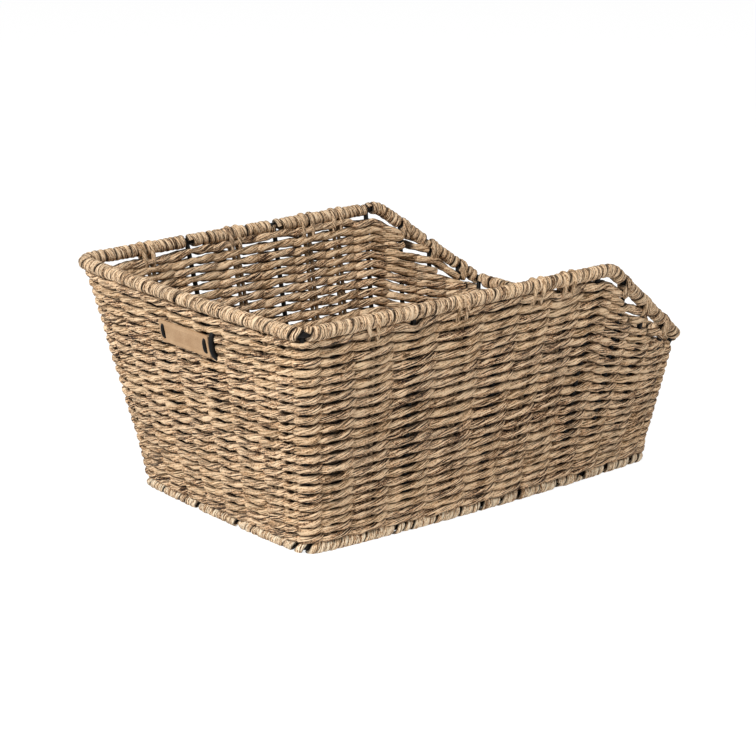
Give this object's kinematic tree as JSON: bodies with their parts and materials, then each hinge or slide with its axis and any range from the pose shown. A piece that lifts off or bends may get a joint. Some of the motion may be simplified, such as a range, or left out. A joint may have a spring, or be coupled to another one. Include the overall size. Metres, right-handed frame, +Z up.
{
  "type": "bicycle pannier basket",
  "caption": "Open woven basket for a bicycle's rear carrier: a wrapped wire frame with twined cord walls and a rim that drops at the saddle end.",
  "frame": {"origin": "on the ground, in the middle of the basket's outline seen from above", "axes": "+X along the basket towards the low end, +Y to its left, +Z up"},
  "size_m": [0.4694, 0.3294, 0.2079],
  "materials": {
    "black_wire": "satin black powder coat",
    "woven_cord": "matt twisted plant-fibre cord",
    "wrap_cord": "matt twisted plant-fibre cord, wound tight",
    "warp_cord": "matt twisted plant-fibre cord, in shade",
    "label": "bare tan plate"
  },
  "bodies": {
    "root": {"rim_wire": "black_wire", "base_wire": "black_wire", "wire_stake_left_1": "black_wire", "wire_stake_left_2": "black_wire", "wire_stake_left_3": "black_wire", "wire_stake_left_4": "black_wire", "wire_stake_left_5": "black_wire", "wire_stake_left_6": "black_wire", "wire_stake_right_1": "black_wire", "wire_stake_right_2": "black_wire", "wire_stake_right_3": "black_wire", "wire_stake_right_4": "black_wire", "wire_stake_right_5": "black_wire", "wire_stake_right_6": "black_wire", "wire_stake_high_end_1": "black_wire", "wire_stake_high_end_2": "black_wire", "wire_stake_low_end_1": "black_wire", "wire_stake_low_end_2": "black_wire", "corner_stake_high_left": "black_wire", "corner_stake_high_right": "black_wire", "corner_stake_low_left": "black_wire", "corner_stake_low_right": "black_wire", "floor_wire_1": "black_wire", "floor_wire_2": "black_wire", "floor_wire_3": "black_wire", "floor_wire_4": "black_wire", "label_tie_1": "black_wire", "label_tie_2": "black_wire", "cord_pair_left_1": "warp_cord", "cord_pair_left_2": "warp_cord", "cord_pair_left_3": "warp_cord", "cord_pair_left_4": "warp_cord", "cord_pair_right_1": "warp_cord", "cord_pair_right_2": "warp_cord", "cord_pair_right_3": "warp_cord", "cord_pair_right_4": "warp_cord", "cord_pair_high_end_1": "warp_cord", "cord_pair_high_end_2": "warp_cord", "cord_pair_high_end_3": "warp_cord", "cord_pair_high_end_4": "warp_cord", "cord_pair_high_end_5": "warp_cord", "cord_pair_low_end_1": "warp_cord", "cord_pair_low_end_2": "warp_cord", "cord_pair_low_end_3": "warp_cord", "rim_wrap_high_end": "wrap_cord", "rim_wrap_left": "wrap_cord", "rim_wrap_slope_left": "wrap_cord", "rim_wrap_low_end": "wrap_cord", "rim_wrap_slope_right": "wrap_cord", "rim_wrap_right": "wrap_cord", "base_wrap_left": "wrap_cord", "base_wrap_right": "wrap_cord", "base_wrap_high_end": "wrap_cord", "base_wrap_low_end": "wrap_cord", "weave_left": "woven_cord", "weave_right": "woven_cord", "weave_high_end": "woven_cord", "weave_low_end": "woven_cord", "weave_floor": "woven_cord", "label_plate": "label"}
  },
  "joints": []
}
